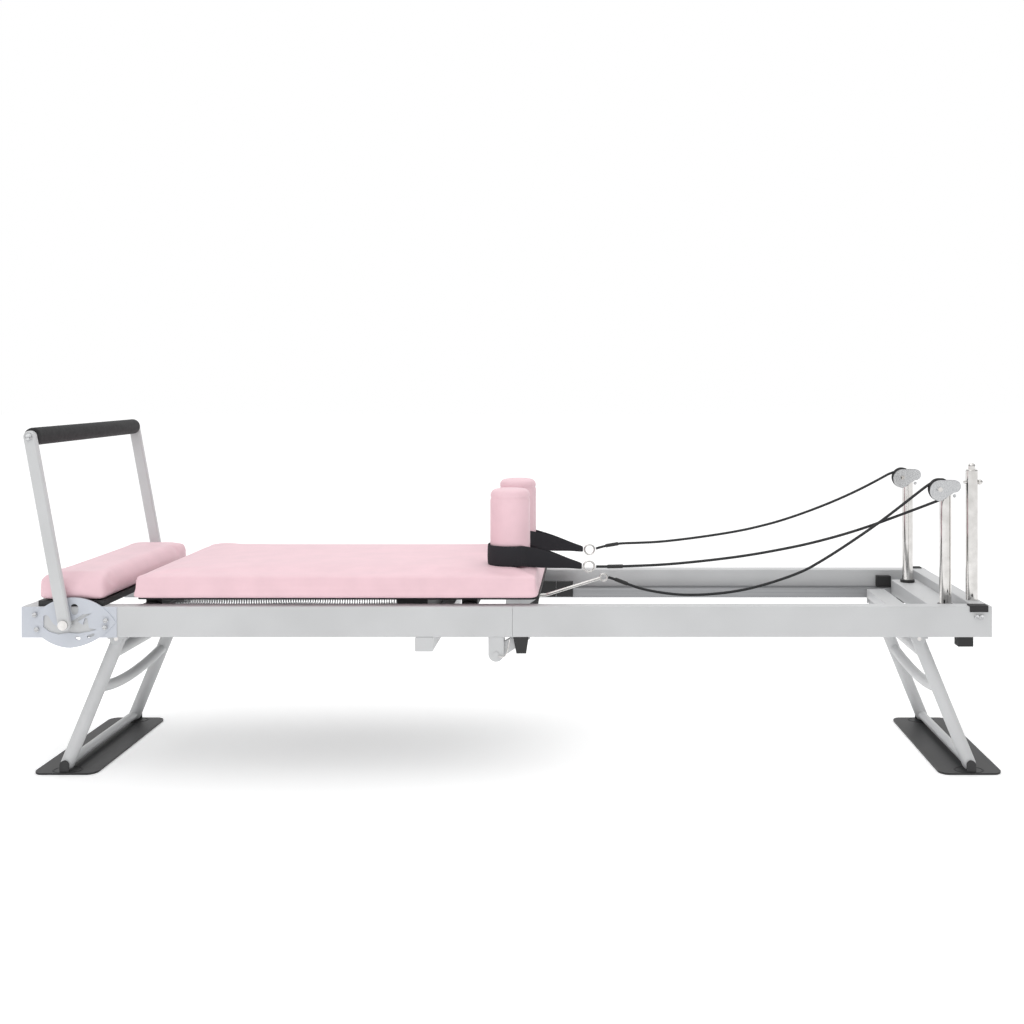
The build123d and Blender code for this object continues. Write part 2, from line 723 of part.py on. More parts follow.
# ---- Posts and pulleys ---------------------------------------------------------------------------

socket_levels = (post_socket_top - post_socket_height, post_socket_top)
with BuildPart() as post_crossmember:
    block((from_head(post_from_head + 36), from_head(head_beam_width)), (-track_inner, track_inner),
          socket_levels)
    fillet(post_crossmember.edges().filter_by(Axis.Y), rail_corner)
    block((from_head(post_from_head + 36 - rail_wall), from_head(head_beam_width + rail_wall)),
          (-track_inner + rail_wall, track_inner - rail_wall),
          (socket_levels[0] + rail_wall, socket_levels[1] - rail_wall), mode=Mode.SUBTRACT)
save(post_crossmember, "post_crossmember")

for side, sign in sides:
    foot = Vector(post_x, sign * post_side, post_socket_top)
    top = foot + Vector(0, 0, post_height)
    with BuildPart() as post:
        rod(foot, top, post_diameter / 2)
        inside = Vector(0, 0, post_wall)
        rod(foot + inside, top - inside, post_diameter / 2 - post_wall, mode=Mode.SUBTRACT)
    save(post, f"post_{side}")

anchor_foot = Vector(anchor_post_x, near_pulley_y, rail_top)
anchor_top = anchor_foot + Vector(0, 0, anchor_post_height)
eyebolt_start = Vector(pulley_x + 62.0, near_pulley_y, eyebolt_height)
eyebolt_end = Vector(anchor_post_x + 21.0, near_pulley_y, eyebolt_height)
with BuildPart() as anchor_post:
    rod(anchor_foot, anchor_top, post_diameter / 2)
    fillet(anchor_post.edges().group_by(Axis.Z)[-1], 4.0)
    rod(anchor_top - Vector(0, 0, 3), anchor_top + Vector(0, 0, anchor_cap_height), 9.0)
    fillet(anchor_post.edges().group_by(Axis.Z)[-1], 8.0)
    rod(eyebolt_start, eyebolt_end, eyebolt_diameter / 2, mode=Mode.SUBTRACT)
save(anchor_post, "anchor_post")

wheel_plane_gap = sheave_width / 2 + cheek_gap
for side, plane_y in (("near", near_pulley_y), ("far", far_pulley_y)):
    with BuildPart() as pulley_housing:
        for face in (plane_y + wheel_plane_gap + cheek_thickness, plane_y - wheel_plane_gap):
            with BuildSketch(Plane.XZ.offset(-face)):
                with BuildLine():
                    upper_left = (pulley_x + 4.0, pulley_height + 23.5)
                    upper_right = (pulley_x + 42.0, pulley_height + 23.0)
                    lower_right = (pulley_x + 36.0, pulley_height - 8.0)
                    lower_left = (pulley_x + 2.0, pulley_height - 30.0)
                    ThreePointArc(upper_left, (pulley_x - 26.0, pulley_height - 4.0), lower_left)
                    Line(lower_left, lower_right)
                    ThreePointArc(lower_right, (pulley_x + 53.0, pulley_height + 6.0), upper_right)
                    Line(upper_right, upper_left)
                make_face()
                with Locations((pulley_x, pulley_height)):
                    Circle(sheave_axle_diameter / 2, mode=Mode.SUBTRACT)
            extrude(amount=cheek_thickness)
        saddle_y = (plane_y + wheel_plane_gap + cheek_thickness, plane_y + pulley_offset - 12)
        block((post_x - 10, post_x + 10), saddle_y, (pulley_height - 8, pulley_height + 12))
        post_y = plane_y + pulley_offset
        rod((post_x, post_y, pulley_height - 60), (post_x, post_y, pulley_height + 60), post_diameter / 2,
            mode=Mode.SUBTRACT)
        bridge_x = (pulley_x + 33.0, pulley_x + 43.0)
        bridge_y = (plane_y - wheel_plane_gap, plane_y + wheel_plane_gap)
        block(bridge_x, bridge_y, (pulley_height + 15.5, pulley_height + 21))
    save(pulley_housing, f"pulley_housing_{side}")

    half = sheave_width / 2
    with BuildPart() as sheave:
        with BuildSketch(Plane.XY):
            with Locations((0, 0)):
                Rectangle(sheave_rim_radius, sheave_width, align=(Align.MIN, Align.CENTER))
                Rectangle(sheave_axle_diameter / 2 + running_clearance, sheave_width,
                          align=(Align.MIN, Align.CENTER), mode=Mode.SUBTRACT)
            with Locations((sheave_groove_radius + rope_diameter / 2 + 0.3, 0)):
                Circle(rope_diameter / 2 + 0.3, mode=Mode.SUBTRACT)
                Rectangle(10, rope_diameter + 0.6, align=(Align.MIN, Align.CENTER), mode=Mode.SUBTRACT)
        revolve(axis=Axis.Y)
    with BuildPart() as placed_sheave:
        with Locations((pulley_x, plane_y, pulley_height)):
            add(sheave.part)
    save(placed_sheave, f"sheave_{side}")

# ---- Fasteners and rubbers of the head half ------------------------------------------------------

with BuildPart() as head_fasteners:
    for plane_y in (near_pulley_y, far_pulley_y):
        outside = plane_y - wheel_plane_gap - cheek_thickness
        inside = plane_y + wheel_plane_gap + cheek_thickness
        rod((pulley_x, outside, pulley_height), (pulley_x, inside, pulley_height), sheave_axle_diameter / 2)
        rod((pulley_x, outside - 3, pulley_height), (pulley_x, outside, pulley_height), 6.0)
    rod(eyebolt_start, eyebolt_end, eyebolt_diameter / 2)
    ball(eyebolt_end, 7.0)
    for side, sign in sides:
        rod((head_leg_x, sign * inner_ear_y, leg_pivot_z), (head_leg_x, sign * outer_ear_y, leg_pivot_z),
            leg_bolt_diameter / 2)
        for distance in (26.0, 38.0):
            place = Vector(from_head(distance), sign * rail_outer, rail_top - 25.0)
            rod(place, place + Vector(0, sign * 3, 0), 5.0)
save(head_fasteners, "head_fasteners")

with BuildPart() as end_rubbers:
    for side, sign in sides:
        stop_start = from_head(stop_from_head)
        block((stop_start, stop_start + stop_length), (sign * rail_inner, sign * (rail_inner - stop_width)),
              (track_top, track_top + stop_height))
        cap_end = from_head(10.0)
        block((cap_end - cap_length, cap_end), (sign * rail_outer, sign * (rail_outer + cap_thickness)),
              (rail_top - cap_height, rail_top + cap_thickness))
        block((cap_end - cap_length, cap_end),
              (sign * (rail_outer - 22), sign * (rail_outer + cap_thickness)),
              (rail_top, rail_top + cap_thickness))
        bumper_start = from_head(bumper_from_head)
        block((bumper_start, bumper_start + bumper_length),
              (sign * (rail_inner + 4), sign * (rail_outer - 4)), (rail_bottom - bumper_height, rail_bottom))
save(end_rubbers, "end_rubbers")

# ---- Ropes ---------------------------------------------------------------------------------------

# Each point is X and Z from the foot end and the floor, then Y.
near_rope_points = [
    (1420.5, 512.0, -150.0), (1460.0, 512.2, -151.8), (1514.0, 514.0, -153.6), (1592.0, 518.0, -158.8),
    (1668.0, 525.5, -164.0), (1746.0, 535.0, -169.4), (1820.0, 546.0, -174.5), (1893.0, 560.0, -179.5),
    (1963.0, 575.0, -184.3), (2047.0, 598.0, -190.0), (2120.0, 622.0, -195.0), (2195.0, 651.0, -201.6),
    (2262.0, 677.2, -207.0),
    (2322.6, 700.6, -207.0), (2324.4, 734.5, -207.0), (2294.3, 750.4, -207.0),
    (2211.0, 685.0, -207.0), (2146.0, 635.0, -207.2), (2090.0, 596.0, -206.6), (2035.0, 558.5, -203.4),
    (1992.0, 531.0, -200.2), (1948.7, 505.6, -196.8), (1870.0, 476.0, -189.4), (1793.0, 454.5, -181.6),
    (1715.0, 443.5, -174.0), (1643.5, 440.7, -166.8), (1588.0, 446.0, -161.2), (1540.0, 454.5, -156.6),
    (1505.0, 466.0, -153.2), (1475.0, 477.4, -150.6), (1452.3, 484.2, -150.0)]
far_rope_points = [
    (1420.5, 515.0, 150.0), (1450.0, 524.0, 150.0), (1490.0, 530.0, 150.1), (1540.0, 531.2, 150.4),
    (1600.0, 533.8, 150.8), (1660.0, 540.2, 151.0), (1740.0, 550.5, 151.4), (1833.0, 565.4, 151.9),
    (1900.0, 580.8, 152.2), (1959.0, 597.0, 152.6), (2045.0, 627.0, 152.8), (2128.0, 661.0, 153.0),
    (2205.0, 698.0, 153.0), (2298.6, 750.2, 153.0), (2335.0, 724.7, 153.0)]
wrap_radius = sheave_groove_radius + rope_diameter / 2 + 0.2
near_wraps = {13: wrap_radius, 14: wrap_radius, 15: wrap_radius}
far_wraps = {13: wrap_radius}


def build_rope(label, points, wraps):
    """A rope through its points, each corner rounded as far as its two runs allow."""
    places = [Vector(from_foot(distance), y, height) for distance, height, y in points]
    runs = [second - first for first, second in zip(places, places[1:])]
    radii = []
    for number in range(1, len(places) - 1):
        turn = math.radians(runs[number - 1].get_angle(runs[number]))
        shorter = min(runs[number - 1].length, runs[number].length)
        radii.append(wraps.get(number, 0.45 * shorter / math.tan(turn / 2)))
    with BuildPart() as rope:
        with BuildLine() as route:
            FilletPolyline(*places, radius=radii)
        with BuildSketch(Plane(origin=route.line @ 0, z_dir=route.line % 0)):
            Circle(rope_diameter / 2)
        sweep(path=route.line)
    save(rope, label)
    length = route.wire().length
    section = math.pi * (rope_diameter / 2) ** 2
    print(label, "length", round(length, 1), "volume ratio", round(rope.part.volume / section / length, 4))
    print(label, "radii", [round(radius, 1) for radius in radii])


build_rope("rope_near", near_rope_points, near_wraps)
build_rope("rope_far", far_rope_points, far_wraps)
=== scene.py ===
"""Folding pilates reformer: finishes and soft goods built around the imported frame, in metres."""
import bmesh
import bpy
import json
import math
from bpy.props import FloatProperty, FloatVectorProperty, IntProperty, PointerProperty
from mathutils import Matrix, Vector


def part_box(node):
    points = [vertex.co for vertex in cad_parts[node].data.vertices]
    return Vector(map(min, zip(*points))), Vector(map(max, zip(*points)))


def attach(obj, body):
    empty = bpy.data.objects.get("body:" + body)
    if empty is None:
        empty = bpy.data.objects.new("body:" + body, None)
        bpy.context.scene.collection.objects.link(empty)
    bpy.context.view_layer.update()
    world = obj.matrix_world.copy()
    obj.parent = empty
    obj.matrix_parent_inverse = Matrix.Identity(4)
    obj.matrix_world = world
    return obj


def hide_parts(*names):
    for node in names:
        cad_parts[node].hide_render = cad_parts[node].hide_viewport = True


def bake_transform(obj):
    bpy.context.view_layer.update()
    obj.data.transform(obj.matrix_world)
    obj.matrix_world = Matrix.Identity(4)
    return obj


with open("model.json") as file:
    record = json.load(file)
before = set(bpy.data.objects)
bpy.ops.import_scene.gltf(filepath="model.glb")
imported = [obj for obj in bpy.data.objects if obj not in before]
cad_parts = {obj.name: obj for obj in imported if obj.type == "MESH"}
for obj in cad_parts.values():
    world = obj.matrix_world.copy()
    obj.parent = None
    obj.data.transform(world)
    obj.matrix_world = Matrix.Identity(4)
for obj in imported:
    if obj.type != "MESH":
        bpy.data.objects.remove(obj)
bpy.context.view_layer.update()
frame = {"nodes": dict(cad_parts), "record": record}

bl_info = {
    "name": "Pilates Reformer",
    "version": (1, 0, 0),
    "blender": (4, 5, 0),
    "location": "View3D > Sidebar > Reformer",
    "description": "Adds pads, straps, ropes, springs and finishes to a folding pilates reformer",
    "category": "Object",
}

MM = 0.001
NODES = frame["nodes"]
SIDES = (("near", -1), ("far", 1))


def linear(colour):
    """The linear colour of an sRGB hex value."""
    channels = [int(colour[start:start + 2], 16) / 255 for start in (1, 3, 5)]
    return tuple(c / 12.92 if c <= 0.04045 else ((c + 0.055) / 1.055) ** 2.4 for c in channels)


def middle(node):
    """The centre of a frame piece's box."""
    low, high = (Vector(corner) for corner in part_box(node))
    return (low + high) / 2


# ---- Sizes and colours a user would change -------------------------------------------------------

def length(name, description, millimetres):
    """A length setting, kept in metres."""
    return FloatProperty(name=name, description=description, default=millimetres * MM, min=0.0,
                         precision=4, unit="LENGTH", subtype="DISTANCE")


def colour(name, description, hex_value):
    """A colour setting."""
    return FloatVectorProperty(name=name, description=description, default=linear(hex_value),
                               subtype="COLOR", min=0.0, max=1.0, size=3)


class ReformerSizes(bpy.types.PropertyGroup):
    """Sizes of the soft goods, ropes and small fittings."""
    strap_width: length("Strap width", "Width of the strap webbing", 54.0)
    strap_thickness: length("Strap thickness", "Thickness of one layer of webbing", 2.6)
    rope_diameter: length("Rope diameter", "Outside diameter of the ropes", 7.0)
    spring_wire: length("Spring wire", "Diameter of the spring wire", 3.0)
    spring_pitch: length("Spring pitch", "Distance from one spring turn to the next", 7.0)
    pad_swell: length("Pad swell", "How far the upholstery may swell from its pattern", 7.0)
    rest_swell: length("Shoulder rest swell", "How far a shoulder rest may swell", 2.0)
    pad_cell: length("Pad cell", "Size of the cloth cells on the pads", 10.0)
    rest_cell: length("Shoulder rest cell", "Size of the cloth cells on the shoulder rests", 6.0)
    swell_frames: IntProperty(name="Swell frames", description="Cloth frames that fill the pads",
                              default=20, min=2, max=60)


class ReformerColours(bpy.types.PropertyGroup):
    """Colours of the finishes."""
    pads: colour("Upholstery", "Pad and shoulder rest vinyl", "#EFCBD3")
    coat: colour("Frame coat", "Powder coat on the frame", "#C9CACB")
    bracket: colour("Bracket coat", "Lacquer on the footbar brackets", "#C6CAD2")
    black: colour("Black parts", "Foot plates, boards and moulded parts", "#2B2B2C")
    webbing: colour("Webbing", "Strap webbing", "#232324")
    rope: colour("Rope", "Braided rope cover", "#1F2022")


# ---- Materials -----------------------------------------------------------------------------------

def add_node(tree, kind, links=(), **settings):
    """Add a shader node, set its attributes and inputs, and link (socket, from_socket) pairs into it."""
    node = tree.nodes.new(kind)
    for key, value in settings.items():
        if hasattr(node, key):
            setattr(node, key, value)
        else:
            node.inputs[key.replace("_", " ")].default_value = value
    for socket, source in links:
        tree.links.new(source, node.inputs[socket])
    return node


def start_material(name):
    """An empty material: its tree, its shader and the object coordinates that its patterns follow."""
    material = bpy.data.materials.new(name)
    material.use_nodes = True
    tree = material.node_tree
    tree.nodes.clear()
    shader = add_node(tree, "ShaderNodeBsdfPrincipled")
    output = add_node(tree, "ShaderNodeOutputMaterial", links=[("Surface", shader.outputs[0])])
    output.location = (300, 0)
    place = add_node(tree, "ShaderNodeTexCoord").outputs["Object"]
    return material, tree, shader, place


def vary_colour(tree, shader, factor, dark, light):
    """Colour that drifts between two shades."""
    ramp = add_node(tree, "ShaderNodeValToRGB", links=[("Fac", factor)])
    ramp.color_ramp.elements[0].position = 0.3
    ramp.color_ramp.elements[1].position = 0.7
    ramp.color_ramp.elements[0].color = (*dark, 1)
    ramp.color_ramp.elements[1].color = (*light, 1)
    tree.links.new(ramp.outputs[0], shader.inputs["Base Color"])


def vary_roughness(tree, shader, factor, low, high):
    """Roughness that drifts between two values."""
    span = add_node(tree, "ShaderNodeMapRange", links=[("Value", factor)])
    span.inputs["To Min"].default_value = low
    span.inputs["To Max"].default_value = high
    tree.links.new(span.outputs[0], shader.inputs["Roughness"])


def raise_grain(tree, shader, height, depth, strength):
    """Bump from a height pattern, with its depth in metres."""
    bump = add_node(tree, "ShaderNodeBump", links=[("Height", height)], Strength=strength, Distance=depth)
    tree.links.new(bump.outputs[0], shader.inputs["Normal"])


def shade(colour_value, amount):
    """A colour made darker or lighter by a factor."""
    return tuple(min(1.0, channel * amount) for channel in colour_value)


def wave_scale(spacing_mm):
    """The scale of a Wave Texture whose bands lie about this many millimetres apart."""
    return 1000 / spacing_mm / (2 * math.pi)


def powder_coat(name, base, grain_mm, roughness, depth_mm):
    """Polyester powder coat on steel: it flows into a faint orange peel, so highlights break up softly."""
    material, tree, shader, place = start_material(name)
    peel = add_node(tree, "ShaderNodeTexNoise", links=[("Vector", place)], Scale=1000 / grain_mm, Detail=3.0)
    drift = add_node(tree, "ShaderNodeTexNoise", links=[("Vector", place)], Scale=1000 / 180.0, Detail=2.0)
    vary_colour(tree, shader, drift.outputs["Fac"], shade(base, 0.95), shade(base, 1.04))
    vary_roughness(tree, shader, drift.outputs["Fac"], roughness - 0.05, roughness + 0.05)
    raise_grain(tree, shader, peel.outputs["Fac"], depth_mm * MM, 0.35)
    shader.inputs["IOR"].default_value = 1.5
    return material


def anodised_aluminium(name):
    """Extruded, anodised aluminium: fine die lines run along it and its gloss is broken along X."""
    material, tree, shader, place = start_material(name)
    stretched = add_node(tree, "ShaderNodeMapping", links=[("Vector", place)], Scale=(2.0, 900.0, 900.0))
    lines = add_node(tree, "ShaderNodeTexNoise", links=[("Vector", stretched.outputs[0])], Scale=1.0,
                     Detail=4.0)
    vary_colour(tree, shader, lines.outputs["Fac"], linear("#8F9092"), linear("#A9AAAC"))
    vary_roughness(tree, shader, lines.outputs["Fac"], 0.32, 0.48)
    raise_grain(tree, shader, lines.outputs["Fac"], 0.05 * MM, 0.3)
    shader.inputs["Metallic"].default_value = 1.0
    return material


def polished_chrome(name):
    """Chrome plate on polished tube: near mirror, with faint wipe marks that show in its reflections."""
    material, tree, shader, place = start_material(name)
    wipes = add_node(tree, "ShaderNodeTexNoise", links=[("Vector", place)], Scale=1000 / 25.0, Detail=5.0)
    vary_colour(tree, shader, wipes.outputs["Fac"], linear("#C9C7C4"), linear("#DEDCDA"))
    vary_roughness(tree, shader, wipes.outputs["Fac"], 0.06, 0.14)
    shader.inputs["Metallic"].default_value = 1.0
    return material


def zinc_steel(name):
    """Bright zinc-plated steel on bolts and springs: paler than chrome, with a fine matt spangle."""
    material, tree, shader, place = start_material(name)
    spangle = add_node(tree, "ShaderNodeTexVoronoi", links=[("Vector", place)], Scale=1000 / 2.5)
    vary_colour(tree, shader, spangle.outputs["Distance"], linear("#B9BABC"), linear("#D2D3D4"))
    vary_roughness(tree, shader, spangle.outputs["Distance"], 0.22, 0.36)
    shader.inputs["Metallic"].default_value = 1.0
    return material


def moulded_black(name, base, grain_mm, roughness, depth_mm):
    """Injection-moulded ABS or rubber: a spark-eroded grain dulls its black."""
    material, tree, shader, place = start_material(name)
    grain = add_node(tree, "ShaderNodeTexVoronoi", links=[("Vector", place)], Scale=1000 / grain_mm)
    drift = add_node(tree, "ShaderNodeTexNoise", links=[("Vector", place)], Scale=1000 / 60.0, Detail=3.0)
    vary_colour(tree, shader, drift.outputs["Fac"], shade(base, 0.8), shade(base, 1.2))
    vary_roughness(tree, shader, drift.outputs["Fac"], roughness - 0.06, roughness + 0.06)
    raise_grain(tree, shader, grain.outputs["Distance"], depth_mm * MM, 0.4)
    return material


def cell_foam(name, base):
    """Closed-cell foam grip: tiny skinned pores make a dull, slightly pitted black."""
    material, tree, shader, place = start_material(name)
    pores = add_node(tree, "ShaderNodeTexVoronoi", links=[("Vector", place)], Scale=1000 / 1.6)
    patches = add_node(tree, "ShaderNodeTexNoise", links=[("Vector", place)], Scale=1000 / 12.0, Detail=4.0)
    vary_colour(tree, shader, patches.outputs["Fac"], shade(base, 0.75), shade(base, 1.3))
    vary_roughness(tree, shader, pores.outputs["Distance"], 0.78, 0.92)
    raise_grain(tree, shader, pores.outputs["Distance"], 0.4 * MM, 0.6)
    return material


def grained_vinyl(name, base):
    """PU upholstery vinyl: fine leather grain, a soft sheen, and colour that drifts slightly from place to
    place.
    """
    material, tree, shader, place = start_material(name)
    grain = add_node(tree, "ShaderNodeTexVoronoi", links=[("Vector", place)], Scale=1000 / 1.8)
    soft = add_node(tree, "ShaderNodeTexNoise", links=[("Vector", place)], Scale=1000 / 55.0, Detail=4.0)
    vary_colour(tree, shader, soft.outputs["Fac"], shade(base, 0.955), shade(base, 1.02))
    vary_roughness(tree, shader, soft.outputs["Fac"], 0.46, 0.56)
    raise_grain(tree, shader, grain.outputs["Distance"], 0.12 * MM, 0.3)
    shader.inputs["Sheen Weight"].default_value = 0.12
    shader.inputs["Sheen Roughness"].default_value = 0.45
    return material


def woven_webbing(name, base):
    """Polypropylene webbing: ribs run across the strap and fine yarns along it, read from its UV map."""
    material, tree, shader, place = start_material(name)
    chart = add_node(tree, "ShaderNodeTexCoord").outputs["UV"]
    ribs = add_node(tree, "ShaderNodeTexWave", links=[("Vector", chart)], bands_direction="X",
                    Scale=wave_scale(2.4), Distortion=0.6)
    yarns = add_node(tree, "ShaderNodeTexWave", links=[("Vector", chart)], bands_direction="Y",
                     Scale=wave_scale(3.2), Distortion=0.4)
    weave = add_node(tree, "ShaderNodeMath", links=[(0, ribs.outputs["Fac"]), (1, yarns.outputs["Fac"])],
                     operation="MULTIPLY")
    vary_colour(tree, shader, weave.outputs[0], shade(base, 0.6), shade(base, 1.5))
    vary_roughness(tree, shader, weave.outputs[0], 0.7, 0.88)
    raise_grain(tree, shader, weave.outputs[0], 0.5 * MM, 0.6)
    shader.inputs["Sheen Weight"].default_value = 0.25
    return material


def braided_cover(name, base):
    """Braided polyester cover: crossing diagonal strands, drawn coarse enough to show."""
    material, tree, shader, place = start_material(name)
    strands = add_node(tree, "ShaderNodeTexWave", links=[("Vector", place)], bands_direction="DIAGONAL",
                       Scale=2 * wave_scale(4.0), Distortion=1.5)
    vary_colour(tree, shader, strands.outputs["Fac"], shade(base, 0.6), shade(base, 1.7))
    vary_roughness(tree, shader, strands.outputs["Fac"], 0.55, 0.75)
    raise_grain(tree, shader, strands.outputs["Fac"], 0.5 * MM, 0.6)
    return material


def cast_polyurethane(name):
    """Cast polyurethane wheels: smooth dark tread with a satin skin and light scuffs."""
    material, tree, shader, place = start_material(name)
    scuffs = add_node(tree, "ShaderNodeTexNoise", links=[("Vector", place)], Scale=1000 / 8.0, Detail=5.0)
    vary_colour(tree, shader, scuffs.outputs["Fac"], linear("#1F1F20"), linear("#333335"))
    vary_roughness(tree, shader, scuffs.outputs["Fac"], 0.3, 0.45)
    return material


def laminate(name, base):
    """Black film-faced plywood: a smooth pressed film with a faint wave of grain under it."""
    material, tree, shader, place = start_material(name)
    stretched = add_node(tree, "ShaderNodeMapping", links=[("Vector", place)], Scale=(8.0, 90.0, 90.0))
    grain = add_node(tree, "ShaderNodeTexNoise", links=[("Vector", stretched.outputs[0])], Scale=1.0,
                     Detail=4.0)
    vary_colour(tree, shader, grain.outputs["Fac"], shade(base, 0.7), shade(base, 1.1))
    vary_roughness(tree, shader, grain.outputs["Fac"], 0.42, 0.55)
    raise_grain(tree, shader, grain.outputs["Fac"], 0.06 * MM, 0.3)
    return material


def finishes(scene):
    """Every finish by name, made once."""
    if "silver_powder_coat" not in bpy.data.materials:
        tone = scene.reformer_colours
        black = tuple(tone.black)
        powder_coat("silver_powder_coat", tuple(tone.coat), 2.2, 0.42, 0.12)
        powder_coat("bracket_lacquer", tuple(tone.bracket), 3.0, 0.34, 0.08)
        powder_coat("black_powder_coat", black, 1.4, 0.5, 0.2)
        anodised_aluminium("anodised_track")
        polished_chrome("chrome_plate")
        zinc_steel("zinc_plated_steel")
        moulded_black("moulded_abs", shade(black, 0.7), 1.2, 0.45, 0.1)
        moulded_black("moulded_rubber", shade(black, 0.75), 2.0, 0.62, 0.15)
        cell_foam("grip_foam", black)
        grained_vinyl("upholstery_vinyl", tuple(tone.pads))
        woven_webbing("strap_webbing", tuple(tone.webbing))
        braided_cover("braided_rope", tuple(tone.rope))
        cast_polyurethane("cast_polyurethane")
        laminate("black_laminate", black)
    return bpy.data.materials


def paint(piece, material_name):
    """Give a piece one finish all over."""
    piece.data.materials.clear()
    piece.data.materials.append(bpy.data.materials[material_name])


# ---- Modelling steps that several pieces share ---------------------------------------------------

def deselect():
    """Leave nothing selected."""
    if bpy.context.object and bpy.context.object.mode != "OBJECT":
        bpy.ops.object.mode_set(mode="OBJECT")
    bpy.ops.object.select_all(action="DESELECT")


def select_only(piece):
    """Make one piece the only selected one, and the active one."""
    deselect()
    piece.select_set(True)
    bpy.context.view_layer.objects.active = piece


def settle(piece, name, body):
    """Name a finished piece, put its place into its mesh and let it ride on its body."""
    select_only(piece)
    bpy.ops.object.transform_apply(location=True, rotation=True, scale=True)
    piece.name = name
    if body:
        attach(piece, body)
    return piece


def apply_modifiers(piece):
    """Apply every modifier of a piece, in order."""
    select_only(piece)
    for modifier in list(piece.modifiers):
        bpy.ops.object.modifier_apply(modifier=modifier.name)


def smooth(piece, angle=40.0):
    """Shade a piece smooth, with its sharp edges kept."""
    select_only(piece)
    bpy.ops.object.shade_smooth_by_angle(angle=math.radians(angle))


def rounded_block(low, high, corner, segments):
    """A block between two corners, with all its edges bevelled in edit mode."""
    low, high = Vector(low), Vector(high)
    deselect()
    bpy.ops.mesh.primitive_cube_add(size=1.0, location=(low + high) / 2, scale=high - low)
    piece = bpy.context.object
    bpy.ops.object.transform_apply(location=True, rotation=True, scale=True)
    bpy.ops.object.mode_set(mode="EDIT")
    bpy.ops.mesh.select_all(action="SELECT")
    bpy.ops.mesh.bevel(offset=corner, segments=segments, affect="EDGES")
    bpy.ops.object.mode_set(mode="OBJECT")
    return piece


def rounded_drum(centre, radius, depth, bevel, axis="Z", vertices=48, segments=3):
    """A short cylinder with bevelled rims."""
    turns = {"X": (0, math.pi / 2, 0), "Y": (math.pi / 2, 0, 0), "Z": (0, 0, 0)}
    deselect()
    bpy.ops.mesh.primitive_cylinder_add(vertices=vertices, radius=radius, depth=depth, location=centre,
                                        rotation=turns[axis])
    piece = bpy.context.object
    rims = piece.modifiers.new("rims", "BEVEL")
    rims.width = bevel
    rims.segments = segments
    rims.limit_method = "ANGLE"
    apply_modifiers(piece)
    smooth(piece)
    return piece


def open_curve(points, name, kind):
    """An open curve along points, either smooth (NURBS) or straight from point to point (POLY)."""
    curve = bpy.data.curves.new(name, "CURVE")
    curve.dimensions = "3D"
    curve.resolution_u = 8
    spline = curve.splines.new(kind)
    spline.points.add(len(points) - 1)
    for point, place in zip(spline.points, points):
        point.co = (*place, 1.0)
    if kind == "NURBS":
        spline.order_u = 3
        spline.use_endpoint_u = True
    holder = bpy.data.objects.new(name, curve)
    bpy.context.collection.objects.link(holder)
    return holder


def wire_along(points, radius, name, kind, bevel_resolution):
    """A capped round wire along points, as a mesh."""
    holder = open_curve(points, name, kind)
    holder.data.bevel_depth = radius
    holder.data.bevel_resolution = bevel_resolution
    holder.data.use_fill_caps = True
    select_only(holder)
    bpy.ops.object.convert(target="MESH")
    bpy.ops.object.shade_smooth()
    return bpy.context.object


def tube_along(points, radius, name, sides=10):
    """A round wire along given points, on one smooth curve."""
    return wire_along(points, radius, name, "NURBS", max(1, sides // 4))


def fill_with_air(piece, cell, cap, base_height):
    """Remesh an upholstered shape, swell it as sewn cloth, and hold its base flat."""
    remesh = piece.modifiers.new("cells", "REMESH")
    remesh.mode = "VOXEL"
    remesh.voxel_size = cell
    apply_modifiers(piece)
    before = [vertex.co.copy() for vertex in piece.data.vertices]
    held = piece.vertex_groups.new(name="held")
    held.add([v.index for v in piece.data.vertices if v.co.z < base_height], 1.0, "REPLACE")
    cloth = piece.modifiers.new("cloth", "CLOTH")
    cloth.settings.use_pressure = True
    cloth.settings.uniform_pressure_force = 4.0
    cloth.settings.effector_weights.gravity = 0.0
    cloth.settings.tension_stiffness = 25.0
    cloth.settings.compression_stiffness = 25.0
    cloth.settings.vertex_group_mass = "held"
    cloth.point_cache.frame_end = bpy.context.scene.reformer_sizes.swell_frames
    for number in range(1, bpy.context.scene.reformer_sizes.swell_frames + 1):
        bpy.context.scene.frame_set(number)
    apply_modifiers(piece)
    bpy.context.scene.frame_set(1)
    for vertex, start in zip(piece.data.vertices, before):
        step = vertex.co - start
        if step.length > cap:
            vertex.co = start + step.normalized() * cap
    piece.vertex_groups.clear()
    finer = piece.modifiers.new("finer", "SUBSURF")
    finer.levels = 1
    finer.render_levels = 1
    apply_modifiers(piece)
    deselect()
    piece.select_set(True)
    bpy.ops.object.shade_smooth()


# ---- Operators -----------------------------------------------------------------------------------

class REFORMER_OT_frame(bpy.types.Operator):
    """Give every metal and moulded frame piece its finish"""
    bl_idname = "reformer.frame"
    bl_label = "Finish the frame"

    SLOT_FINISH = {
        "frame_paint": "silver_powder_coat", "track_aluminium": "anodised_track",
        "bracket_metal": "bracket_lacquer", "chrome": "chrome_plate", "black_steel": "black_powder_coat",
        "black_plastic": "moulded_abs", "black_rubber": "moulded_rubber", "foam_grip": "grip_foam",
        "pad_vinyl": "upholstery_vinyl", "strap_webbing": "strap_webbing", "rope_braid": "braided_rope",
        "spring_steel": "zinc_plated_steel", "wheel_plastic": "cast_polyurethane",
        "board_black": "black_laminate"}

    def execute(self, context):
        finishes(context.scene)
        for subpart in frame["record"]["subparts"]:
            node = NODES[subpart["node"]]
            paint(node, self.SLOT_FINISH[subpart["material_slot"]])
        for name in ("pulley_housing_near", "pulley_housing_far"):
            paint(NODES[name], "zinc_plated_steel")
        return {"FINISHED"}


